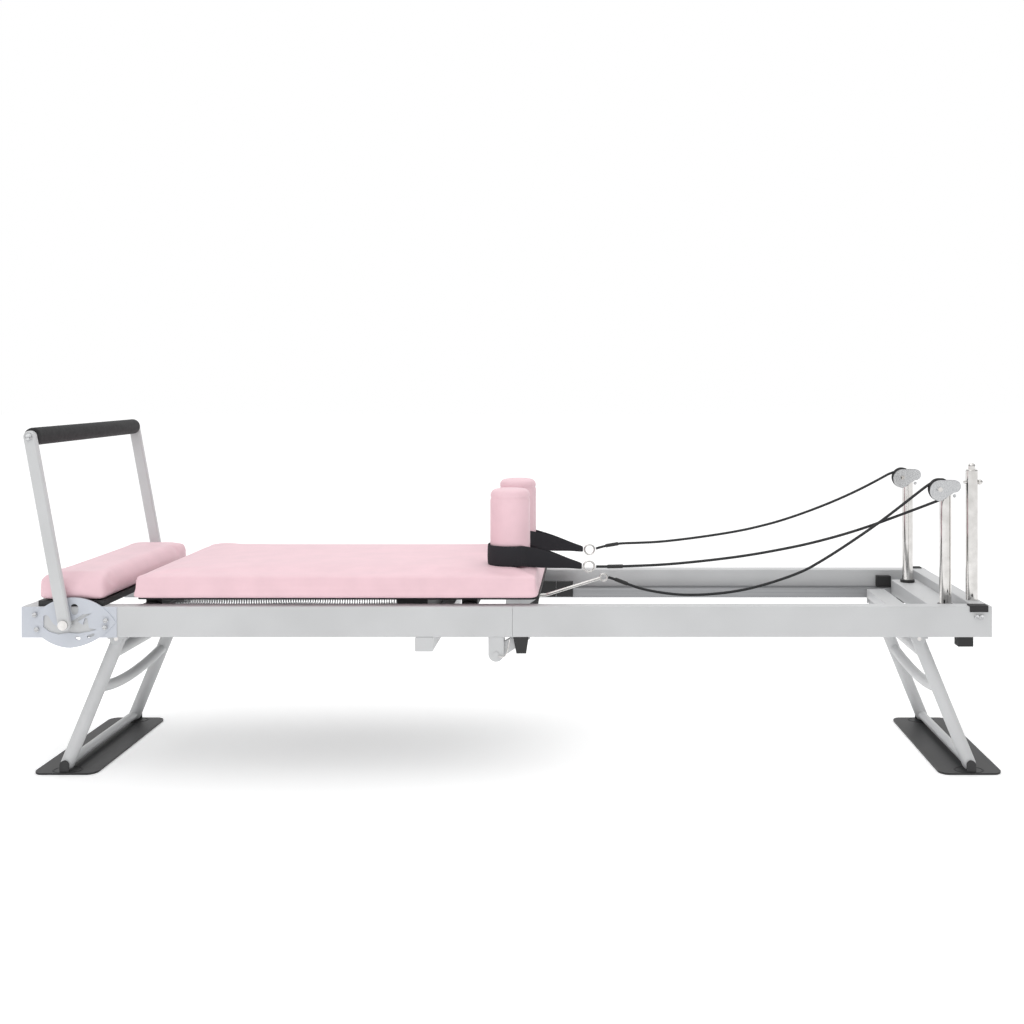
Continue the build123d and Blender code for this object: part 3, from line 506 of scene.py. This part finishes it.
class REFORMER_OT_pads(bpy.types.Operator):
    """Sew and fill the fixed foot pad and the long carriage pad"""
    bl_idname = "reformer.pads"
    bl_label = "Make the pads"

    def execute(self, context):
        finishes(context.scene)
        sizes = context.scene.reformer_sizes
        side_share = 0.7
        top_share = 0.6
        corner = 13 * MM
        flat_base = 12 * MM
        inset = Vector((sizes.pad_swell, sizes.pad_swell, 0)) * side_share
        top_inset = Vector((0, 0, sizes.pad_swell * top_share))
        for node, body in (("carriage_pad", "carriage"), ("foot_pad", "foot_frame")):
            low, high = (Vector(place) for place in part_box(node))
            pad = rounded_block(low + inset, high - inset - top_inset, corner, 4)
            fill_with_air(pad, sizes.pad_cell, sizes.pad_swell, low.z + flat_base)
            paint(pad, "upholstery_vinyl")
            settle(pad, node + "_cover", body)
            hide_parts(node)
        return {"FINISHED"}


class REFORMER_OT_shoulder_rests(bpy.types.Operator):
    """Sew and fill the two shoulder rests"""
    bl_idname = "reformer.shoulder_rests"
    bl_label = "Make the shoulder rests"

    def execute(self, context):
        finishes(context.scene)
        sizes = context.scene.reformer_sizes
        clearance = 2 * MM
        rim = 16 * MM
        flat_base = 10 * MM
        seam_drop = 24 * MM
        pad_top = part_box("carriage_pad")[1][2]
        for side, _ in SIDES:
            node = f"shoulder_rest_{side}"
            low, high = (Vector(corner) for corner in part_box(node))
            radius = (high.x - low.x) / 2 - sizes.rest_swell
            centre = Vector(((low.x + high.x) / 2, (low.y + high.y) / 2, (pad_top + high.z) / 2))
            rest = rounded_drum(centre, radius, high.z - pad_top - clearance, rim, vertices=64, segments=5)
            bpy.ops.object.transform_apply(location=True, rotation=True, scale=True)
            fill_with_air(rest, sizes.rest_cell, sizes.rest_swell, pad_top + flat_base)
            self.sew_seam(rest, centre, high.z - seam_drop)
            paint(rest, "upholstery_vinyl")
            settle(rest, node + "_cover", node)
            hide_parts(node)
        return {"FINISHED"}

    @staticmethod
    def sew_seam(rest, centre, height):
        """Pull the cover in along the seam that joins the top panel to the side."""
        seam_width = 3 * MM
        seam_depth = 2.2 * MM
        inside = 30 * MM
        for vertex in rest.data.vertices:
            near = math.exp(-((vertex.co.z - height) / seam_width) ** 2)
            out = Vector((vertex.co.x - centre.x, vertex.co.y - centre.y, 0))
            if out.length > inside:
                vertex.co -= out.normalized() * near * seam_depth


class REFORMER_OT_straps(bpy.types.Operator):
    """Wrap the webbing straps round the shoulder rests and gather them into their rings"""
    bl_idname = "reformer.straps"
    bl_label = "Make the straps"

    def execute(self, context):
        finishes(context.scene)
        sizes = context.scene.reformer_sizes
        for side, sign in SIDES:
            low, high = (Vector(corner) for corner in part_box(f"strap_{side}"))
            rest = middle(f"shoulder_rest_{side}")
            loop_radius = (high.y - low.y) / 2 - sizes.strap_thickness / 2 - 0.0004
            loop_level = high.z - sizes.strap_width / 2
            ring = Vector((high.x - 0.004, rest.y, (low.z + 0.009)))
            stations = self.route(rest, loop_radius, loop_level, ring, sizes.strap_width / 2)
            strap = self.weave(stations, sizes.strap_thickness, f"strap_{side}_webbing")
            paint(strap, "strap_webbing")
            settle(strap, f"strap_{side}_webbing", "carriage")
            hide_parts(f"strap_{side}")
        return {"FINISHED"}

    @staticmethod
    def route(rest, radius, level, ring, half_width):
        """Stations along the strap: its middle, its outward direction and half its width there."""
        tail = [(1.0, 0.0045, 0.30), (0.82, 0.0055, 0.42), (0.62, 0.009, 0.72), (0.42, 0.014, 0.92),
                (0.24, 0.022, 1.0)]
        stations = []
        start = Vector((rest.x, rest.y, level))
        for direction in (-1, 1):
            side_stations = []
            for share, offset, width in tail:
                middle_point = start.lerp(ring, share)
                middle_point.z = level + (ring.z - level) * share ** 1.3
                middle_point.y = rest.y + direction * offset
                side_stations.append((middle_point, Vector((0.12, direction, 0)).normalized(),
                                      half_width * width))
            if direction < 0:
                stations += side_stations
                steps = 30
                gather_angle = 52
                first = math.radians(-gather_angle)
                last = math.radians(gather_angle - 360)
                for number in range(steps + 1):
                    angle = first + (last - first) * number / steps
                    out = Vector((math.cos(angle), math.sin(angle), 0))
                    stations.append((start + out * radius, out, half_width))
            else:
                stations += side_stations[::-1]
        return stations

    @staticmethod
    def weave(stations, thickness, name):
        """A strip of webbing through its stations, with a UV map in metres along and across it."""
        rows = 5
        crown = 1.2 * MM
        mesh = bpy.data.meshes.new(name)
        shape = bmesh.new()
        chart = shape.loops.layers.uv.new("weave")
        run = [0.0]
        for (a, _, _), (b, _, _) in zip(stations, stations[1:]):
            run.append(run[-1] + (b - a).length)
        grid = []
        for place, out, half in stations:
            line = []
            for row in range(rows):
                across = -1 + 2 * row / (rows - 1)
                belly = out * crown * (1 - across * across)
                line.append(shape.verts.new(place + Vector((0, 0, across * half)) + belly))
            grid.append(line)
        for number in range(len(grid) - 1):
            for row in range(rows - 1):
                face = shape.faces.new((grid[number][row], grid[number + 1][row],
                                        grid[number + 1][row + 1], grid[number][row + 1]))
                for loop, (i, j) in zip(face.loops, ((number, row), (number + 1, row),
                                                     (number + 1, row + 1), (number, row + 1))):
                    half = stations[i][2]
                    loop[chart].uv = (run[i], (-1 + 2 * j / (rows - 1)) * half)
        shape.normal_update()
        shape.to_mesh(mesh)
        shape.free()
        piece = bpy.data.objects.new(name, mesh)
        bpy.context.collection.objects.link(piece)
        wall = piece.modifiers.new("wall", "SOLIDIFY")
        wall.thickness = thickness
        wall.offset = 0.0
        soft = piece.modifiers.new("soft", "SUBSURF")
        soft.levels = 2
        soft.render_levels = 2
        apply_modifiers(piece)
        bpy.ops.object.shade_smooth()
        return piece


def along(distance):
    """X of a place measured from the foot end of the frame, in millimetres."""
    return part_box("foot_end_beam")[0][0] + distance * MM


class REFORMER_OT_ropes(bpy.types.Operator):
    """Run the two ropes from the straps over their pulleys"""
    bl_idname = "reformer.ropes"
    bl_label = "Make the ropes"

    # Each point is X and Z from the foot end and the floor, then Y, in millimetres.
    NEAR = [
        (1420.5, 512.0, -150.0), (1460.0, 512.2, -151.8), (1514.0, 514.0, -153.6), (1592.0, 518.0, -158.8),
        (1668.0, 525.5, -164.0), (1746.0, 535.0, -169.4), (1820.0, 546.0, -174.5), (1893.0, 560.0, -179.5),
        (1963.0, 575.0, -184.3), (2047.0, 598.0, -190.0), (2120.0, 622.0, -195.0), (2195.0, 651.0, -201.6),
        (2262.0, 677.2, -207.0),
        (2322.6, 700.6, -207.0), (2324.4, 734.5, -207.0), (2294.3, 750.4, -207.0),
        (2211.0, 685.0, -207.0), (2146.0, 635.0, -207.2), (2090.0, 596.0, -206.6), (2035.0, 558.5, -203.4),
        (1992.0, 531.0, -200.2), (1948.7, 505.6, -196.8), (1870.0, 476.0, -189.4), (1793.0, 454.5, -181.6),
        (1715.0, 443.5, -174.0), (1643.5, 440.7, -166.8), (1588.0, 446.0, -161.2), (1540.0, 454.5, -156.6),
        (1505.0, 466.0, -153.2), (1475.0, 477.4, -150.6), (1452.3, 484.2, -150.0)]
    FAR = [
        (1420.5, 515.0, 150.0), (1450.0, 524.0, 150.0), (1490.0, 530.0, 150.1), (1540.0, 531.2, 150.4),
        (1600.0, 533.8, 150.8), (1660.0, 540.2, 151.0), (1740.0, 550.5, 151.4), (1833.0, 565.4, 151.9),
        (1900.0, 580.8, 152.2), (1959.0, 597.0, 152.6), (2045.0, 627.0, 152.8), (2128.0, 661.0, 153.0),
        (2205.0, 698.0, 153.0), (2298.6, 750.2, 153.0), (2335.0, 724.7, 153.0)]
    LENGTH = {"rope_near": 1.9244, "rope_far": 0.9606}

    def execute(self, context):
        finishes(context.scene)
        diameter = context.scene.reformer_sizes.rope_diameter
        for node, points in (("rope_near", self.NEAR), ("rope_far", self.FAR)):
            places = [Vector((along(x), y * MM, z * MM)) for x, z, y in points]
            line = self.middle_line(places, node)
            rope = tube_along(places, diameter / 2, node + "_braid", sides=12)
            paint(rope, "braided_rope")
            settle(rope, node + "_braid", None)
            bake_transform(rope)
            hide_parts(node)
        return {"FINISHED"}

    @staticmethod
    def middle_line(places, name):
        """Points on the rope's own smooth curve."""
        holder = open_curve(places, name + "_line", "NURBS")
        mesh = bpy.data.meshes.new_from_object(holder)
        line = [tuple(vertex.co) for vertex in mesh.vertices]
        bpy.data.objects.remove(holder)
        bpy.data.meshes.remove(mesh)
        return line


class REFORMER_OT_springs(bpy.types.Operator):
    """Wind the carriage springs between the spring bar and the carriage"""
    bl_idname = "reformer.springs"
    bl_label = "Wind the springs"

    def execute(self, context):
        finishes(context.scene)
        sizes = context.scene.reformer_sizes
        low, high = (Vector(corner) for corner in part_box("springs"))
        coil = (high.z - low.z) / 2 - sizes.spring_wire / 2
        turns = int((high.x - low.x) / sizes.spring_pitch)
        spring_count = 4
        steps = 12
        end_margin = 4 * MM
        level = (low.z + high.z) / 2
        first = low.y + coil + sizes.spring_wire / 2
        pitch = (high.y - low.y - 2 * coil - sizes.spring_wire) / (spring_count - 1)
        parts = []
        for number in range(spring_count):
            centre_y = first + pitch * number
            points = []
            for step in range(turns * steps + 1):
                share = step / (turns * steps)
                angle = 2 * math.pi * step / steps
                points.append((low.x + end_margin + (high.x - low.x - 2 * end_margin) * share,
                               centre_y + coil * math.cos(angle), level + coil * math.sin(angle)))
            parts.append(wire_along(points, sizes.spring_wire / 2, f"spring_{number}", "POLY", 0))
        deselect()
        for part in parts:
            part.select_set(True)
        bpy.context.view_layer.objects.active = parts[0]
        bpy.ops.object.join()
        springs = bpy.context.object
        paint(springs, "zinc_plated_steel")
        settle(springs, "carriage_springs", None)
        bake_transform(springs)
        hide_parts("springs")
        return {"FINISHED"}


class REFORMER_OT_grip(bpy.types.Operator):
    """Turn the foam grip of the footbar"""
    bl_idname = "reformer.grip"
    bl_label = "Make the footbar grip"

    def execute(self, context):
        finishes(context.scene)
        low, high = (Vector(corner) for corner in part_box("footbar_foam"))
        grip = rounded_drum((low + high) / 2, (high.x - low.x) / 2, high.y - low.y, 0.005, axis="Y",
                            vertices=64, segments=4)
        paint(grip, "grip_foam")
        settle(grip, "footbar_grip", "footbar")
        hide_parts("footbar_foam")
        return {"FINISHED"}


class REFORMER_OT_fasteners(bpy.types.Operator):
    """Set domed bolts on the brackets, arms, rails and pulleys"""
    bl_idname = "reformer.fasteners"
    bl_label = "Set the fasteners"

    def execute(self, context):
        finishes(context.scene)
        rail_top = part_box("foot_rail_near")[1][2]
        rail_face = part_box("foot_rail_far")[1][1]
        bracket_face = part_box("footbar_bracket_far")[1][1]
        arm_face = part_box("footbar_arm_far")[1][1]
        number = 0
        for side, sign in SIDES:
            for distance, drop in ((35.0, 19.0), (40.0, 55.0), (210.0, 33.0), (208.0, 50.0)):
                place = Vector((along(distance), sign * (bracket_face + 0.003), rail_top - drop * MM))
                self.bolt(place, sign, 0.0062, 0.0035, f"bracket_bolt_{side}_{number}", "foot_frame")
                number += 1
            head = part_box("head_end_beam")[1][0]
            for back in (26.0, 38.0):
                place = Vector((head - back * MM, sign * (rail_face + 0.003), rail_top - 0.025))
                self.bolt(place, sign, 0.0062, 0.003, f"rail_bolt_{side}_{number}", "head_frame")
                number += 1
            bar = middle("footbar_tube")
            self.bolt(Vector((bar.x, sign * arm_face, bar.z)), sign, 0.009, 0.004,
                      f"footbar_end_bolt_{side}", "footbar")
        for side in ("near", "far"):
            low, high = (Vector(corner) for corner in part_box(f"pulley_housing_{side}"))
            for dx, dz in ((0.020, -0.004), (0.062, -0.020)):
                self.bolt(Vector((low.x + dx, low.y, high.z - 0.02 + dz)), -1, 0.0045, 0.003,
                          f"pulley_bolt_{side}_{number}", "head_frame")
                number += 1
        return {"FINISHED"}

    @staticmethod
    def bolt(place, sign, radius, height, name, body):
        """A domed socket-head bolt that stands out along Y."""
        piece = rounded_drum(place + Vector((0, sign * height / 2, 0)), radius, height, height * 0.45,
                             axis="Y", vertices=24, segments=3)
        bpy.ops.object.transform_apply(location=True, rotation=True, scale=True)
        smallest_crown = 1e-6
        shape = bmesh.new()
        shape.from_mesh(piece.data)
        crown = max(shape.faces, key=lambda face: (sign * face.calc_center_median().y
                                                   * (face.calc_area() > smallest_crown)))
        bmesh.ops.inset_individual(shape, faces=[crown], thickness=radius * 0.22)
        for vertex in crown.verts:
            vertex.co.y -= sign * height * 0.5
        shape.to_mesh(piece.data)
        shape.free()
        paint(piece, "zinc_plated_steel")
        settle(piece, name, body)


class REFORMER_OT_trim(bpy.types.Operator):
    """Add collars, plate gaskets, rope sleeves and the bent release wires"""
    bl_idname = "reformer.trim"
    bl_label = "Add the trim"

    def execute(self, context):
        finishes(context.scene)
        self.collars()
        self.gaskets()
        self.sleeves()
        self.wires()
        return {"FINISHED"}

    @staticmethod
    def collars():
        """Black plastic collars where the posts leave their socket."""
        collar_radius = 20.5 * MM
        collar_height = 8 * MM
        for node in ("post_near", "post_far"):
            centre = middle(node)
            centre.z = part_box(node)[0][2] + collar_height / 2
            ring = rounded_drum(centre, collar_radius, collar_height, 2 * MM)
            paint(ring, "moulded_abs")
            settle(ring, node + "_collar", "head_frame")

    @staticmethod
    def gaskets():
        """Oval rubber gaskets round the leg ends on the foot plates."""
        for end in ("foot", "head"):
            plate_low, plate_high = (Vector(corner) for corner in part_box(f"{end}_plate"))
            centre_x = (plate_low.x + plate_high.x) / 2
            for side, sign in SIDES:
                y = middle(f"{end}_leg_{side}").y
                deselect()
                bpy.ops.mesh.primitive_torus_add(major_segments=48, minor_segments=8, major_radius=0.0245,
                                                 minor_radius=0.0022, location=(centre_x, y, 0.0049))
                ring = bpy.context.object
                ring.scale = (1.45, 1.0, 0.35)
                bpy.ops.object.shade_smooth()
                paint(ring, "moulded_rubber")
                settle(ring, f"{end}_plate_gasket_{side}", f"{end}_plate")

    @staticmethod
    def sleeves():
        """Pressed sleeves on the ropes beside their rings."""
        for name, start, end in (
                ("rope_near_strap_sleeve", (1450, -151.2, 512.2), (1490, -152.8, 513.2)),
                ("rope_near_anchor_sleeve", (1470, -150.5, 479.2), (1502, -152.8, 467.2)),
                ("rope_far_strap_sleeve", (1448, 150.0, 522.8), (1484, 150.0, 529.0))):
            places = [Vector((along(x), y * MM, z * MM)) for x, y, z in (start, end)]
            centre = (places[0] + places[1]) / 2
            sleeve = tube_along([places[0], centre, places[1]], 0.0052, name)
            paint(sleeve, "moulded_abs")
            settle(sleeve, name, "carriage")

    @staticmethod
    def wires():
        """Bent wire handles that release the leg locks, and the fold's safety pin."""
        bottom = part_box("head_rail_near")[0][2] / MM
        near = -206.0
        wire_radius = 1.6 * MM
        routes = {
            "head_release_loop": ("head_frame", [(2030, near, bottom + 8), (2032, near, bottom - 14),
                                                 (2044, near, bottom - 20), (2062, near, bottom - 14),
                                                 (2066, near, bottom + 8)]),
            "head_release_wire": ("head_frame", [(2088, near, bottom + 4), (2104, near, bottom - 12),
                                                 (2130, near, bottom - 20), (2156, near, bottom - 6),
                                                 (2174, near, bottom - 16), (2196, near, bottom + 2)]),
            "fold_safety_wire": ("foot_frame", [(1180, -302, bottom - 46), (1192, -304, bottom - 52),
                                                (1203, -304, bottom - 30), (1207, -303, bottom - 4)]),
        }
        for name, (body, points) in routes.items():
            wire = tube_along([Vector((along(x), y * MM, z * MM)) for x, y, z in points], wire_radius,
                              name)
            paint(wire, "chrome_plate")
            settle(wire, name, body)


class REFORMER_OT_stage(bpy.types.Operator):
    """Set the floor, the soft lights and the camera"""
    bl_idname = "reformer.stage"
    bl_label = "Set the stage"

    def execute(self, context):
        deselect()
        bpy.ops.mesh.primitive_plane_add(size=60.0, location=(0, 0, -0.0005))
        floor = bpy.context.object
        floor.name = "studio_floor"
        material, tree, shader, place = start_material("studio_paper")
        soft = add_node(tree, "ShaderNodeTexNoise", links=[("Vector", place)], Scale=0.8, Detail=1.0)
        vary_colour(tree, shader, soft.outputs["Fac"], linear("#FCFCFC"), linear("#FEFEFE"))
        shader.inputs["Roughness"].default_value = 0.9
        shader.inputs["Emission Color"].default_value = (1.0, 1.0, 1.0, 1.0)
        shader.inputs["Emission Strength"].default_value = 0.26
        floor.data.materials.append(material)
        self.air(context.scene)
        self.lamp("key_light", (-1.8, -2.6, 3.4), (40, 0, -30), 3.6, 26.0)
        self.lamp("top_light", (0.2, 0.2, 3.0), (0, 0, 0), 3.0, 16.0)
        camera = bpy.data.cameras.new("camera")
        camera.sensor_width = 36.0
        camera.lens = 40.5
        camera.shift_x = -0.081
        camera.shift_y = -0.129
        viewer = bpy.data.objects.new("camera", camera)
        viewer.location = (0.1951, -3.150, 0.998)
        viewer.rotation_euler = (math.pi / 2, 0, 0)
        context.collection.objects.link(viewer)
        context.scene.camera = viewer
        context.scene.view_settings.view_transform = "Standard"
        return {"FINISHED"}

    @staticmethod
    def air(scene):
        """White air that is dimmer far to the left and right and behind, for polished metal to reflect."""
        world = bpy.data.worlds.new("studio_air")
        world.use_nodes = True
        tree = world.node_tree
        tree.nodes.clear()
        direction = add_node(tree, "ShaderNodeTexCoord").outputs["Generated"]
        split = add_node(tree, "ShaderNodeSeparateXYZ", links=[("Vector", direction)])
        sideways = add_node(tree, "ShaderNodeMath", links=[(0, split.outputs["X"])], operation="ABSOLUTE")
        walls = add_node(tree, "ShaderNodeMapRange", links=[("Value", sideways.outputs[0])])
        walls.inputs["From Min"].default_value = 0.62
        walls.inputs["From Max"].default_value = 0.80
        walls.inputs["To Min"].default_value = 1.0
        walls.inputs["To Max"].default_value = 0.42
        behind = add_node(tree, "ShaderNodeMapRange", links=[("Value", split.outputs["Y"])])
        behind.inputs["From Min"].default_value = -0.75
        behind.inputs["From Max"].default_value = -0.35
        behind.inputs["To Min"].default_value = 0.72
        behind.inputs["To Max"].default_value = 1.0
        both = add_node(tree, "ShaderNodeMath", links=[(0, walls.outputs[0]), (1, behind.outputs[0])],
                        operation="MULTIPLY")
        glow = add_node(tree, "ShaderNodeBackground", links=[("Strength", both.outputs[0])])
        glow.inputs["Color"].default_value = (1.0, 1.0, 1.0, 1.0)
        add_node(tree, "ShaderNodeOutputWorld", links=[("Surface", glow.outputs[0])])
        scene.world = world

    @staticmethod
    def lamp(name, place, turn, size, power):
        """A large soft area light."""
        light = bpy.data.lights.new(name, "AREA")
        light.shape = "SQUARE"
        light.size = size
        light.energy = power
        holder = bpy.data.objects.new(name, light)
        holder.location = place
        holder.rotation_euler = [math.radians(angle) for angle in turn]
        bpy.context.collection.objects.link(holder)


class REFORMER_PT_panel(bpy.types.Panel):
    """Lists the reformer's sizes, colours and building steps"""
    bl_idname = "REFORMER_PT_panel"
    bl_label = "Pilates reformer"
    bl_space_type = "VIEW_3D"
    bl_region_type = "UI"
    bl_category = "Reformer"

    def draw(self, context):
        for group in (context.scene.reformer_sizes, context.scene.reformer_colours):
            for key in group.__annotations__:
                self.layout.prop(group, key)
        for step in STEPS:
            self.layout.operator(step.bl_idname)


STEPS = (REFORMER_OT_frame, REFORMER_OT_pads, REFORMER_OT_shoulder_rests, REFORMER_OT_straps,
         REFORMER_OT_ropes, REFORMER_OT_springs, REFORMER_OT_grip, REFORMER_OT_fasteners,
         REFORMER_OT_trim, REFORMER_OT_stage)
CLASSES = (ReformerSizes, ReformerColours, *STEPS, REFORMER_PT_panel)


def register():
    for cls in CLASSES:
        bpy.utils.register_class(cls)
    bpy.types.Scene.reformer_sizes = PointerProperty(type=ReformerSizes)
    bpy.types.Scene.reformer_colours = PointerProperty(type=ReformerColours)


def unregister():
    del bpy.types.Scene.reformer_sizes
    del bpy.types.Scene.reformer_colours
    for cls in reversed(CLASSES):
        bpy.utils.unregister_class(cls)


def main():
    register()
    bpy.ops.reformer.frame()
    bpy.ops.reformer.pads()
    bpy.ops.reformer.shoulder_rests()
    bpy.ops.reformer.straps()
    bpy.ops.reformer.ropes()
    bpy.ops.reformer.springs()
    bpy.ops.reformer.grip()
    bpy.ops.reformer.fasteners()
    bpy.ops.reformer.trim()
    bpy.ops.reformer.stage()


if __name__ == "__main__":
    main()
